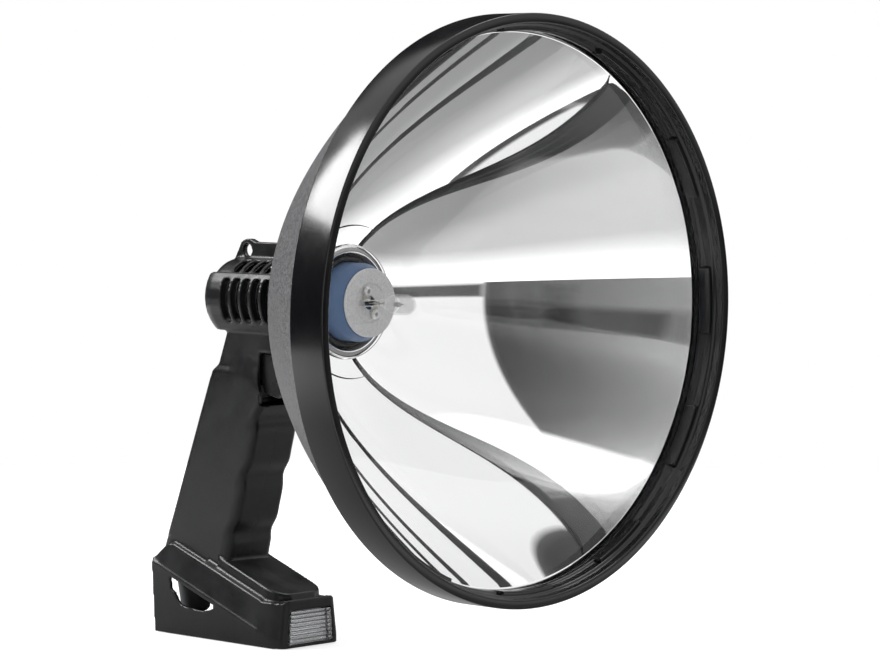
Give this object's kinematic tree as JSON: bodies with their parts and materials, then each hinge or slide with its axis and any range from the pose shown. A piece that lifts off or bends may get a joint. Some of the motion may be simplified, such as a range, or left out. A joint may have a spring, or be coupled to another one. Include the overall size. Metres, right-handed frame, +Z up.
{
  "type": "handheld searchlight",
  "caption": "Pistol-grip searchlight with a wide screw-focus mirror head, a trigger, and a foot that holds a small map light and the cable gland.",
  "frame": {"origin": "middle of the flat sole of the foot", "axes": "+Z up, -Y along the beam, X = 0 is the parting plane of the two handle halves"},
  "size_m": [0.25, 0.2258, 0.281],
  "materials": {
    "gloss_black": "glossy moulded black",
    "textured_black": "fine spark-textured black",
    "grip_black": "satin moulded black",
    "smooth_black": "smooth satin black",
    "black_rubber": "dull black rubber",
    "red_plastic": "smooth red",
    "pale_plastic": "smooth cream",
    "blue_plastic": "satin slate blue",
    "mirror": "vacuum metallised mirror",
    "steel": "bright zinc",
    "aluminium": "fine satin aluminium",
    "brass": "plain brass",
    "clear_lens": "clear polycarbonate",
    "bulb_glass": "clear quartz"
  },
  "bodies": {
    "handle": {"handle_left": "grip_black", "handle_right": "grip_black", "barrel_screw": "steel", "neck_screw": "steel", "upper_grip_screw": "steel", "lower_grip_screw": "steel", "front_foot_screw": "steel", "rear_foot_screw": "steel", "bulb_socket": "blue_plastic", "socket_plate": "aluminium", "contact_rivet_1": "steel", "contact_rivet_2": "steel", "contact_clip_1": "brass", "contact_clip_2": "brass", "bulb_pinch": "bulb_glass", "bulb_envelope": "bulb_glass", "bulb_filament": "steel", "bulb_pin_1": "steel", "bulb_pin_2": "steel", "trigger_pin": "steel", "switch_body": "smooth_black", "cable_gland": "black_rubber", "gland_nut": "brass", "sole_pad": "black_rubber", "map_light_lens": "clear_lens", "map_light_tray": "mirror", "map_light_bulb": "bulb_glass", "map_light_holder": "smooth_black", "supply_lead": "red_plastic", "return_lead": "smooth_black", "switch_lead": "red_plastic", "map_light_lead": "pale_plastic"},
    "head": {"front_rim": "gloss_black", "front_lens": "clear_lens", "lens_gasket": "black_rubber", "reflector": "mirror", "rear_shell": "textured_black", "neck_seal": "black_rubber", "neck_collar": "aluminium", "neck_cap": "smooth_black"},
    "focus_carriage": {"focus_brake_ring": "smooth_black"},
    "trigger": {"trigger": "smooth_black"},
    "plunger": {"switch_plunger": "red_plastic"}
  },
  "joints": [
    {"name": "focus_travel", "type": "slide", "parent": "handle", "child": "focus_carriage", "axis": [0, 1, 0], "range_m": [-0.003, 0.003]},
    {"name": "focus_turn", "type": "hinge", "parent": "focus_carriage", "child": "head", "pos_m": [0, 0, 0.156], "axis": [0, 1, 0], "range_deg": [-180, 180]},
    {"name": "trigger_pull", "type": "hinge", "parent": "handle", "child": "trigger", "pos_m": [0, -0.0165, 0.1284], "axis": [1, 0, 0], "range_deg": [0, 7], "stiffness_Nm_per_rad": 0.6, "springref_deg": -2.86},
    {"name": "plunger_slide", "type": "slide", "parent": "handle", "child": "plunger", "axis": [0, 1, 0], "range_m": [0, 0.0014]}
  ],
  "couplings": [
    {"joint": "focus_travel", "follows": "focus_turn", "m_per_rad": 0.00095493},
    {"joint": "plunger_slide", "follows": "trigger_pull", "m_per_rad": 0.0114}
  ]
}
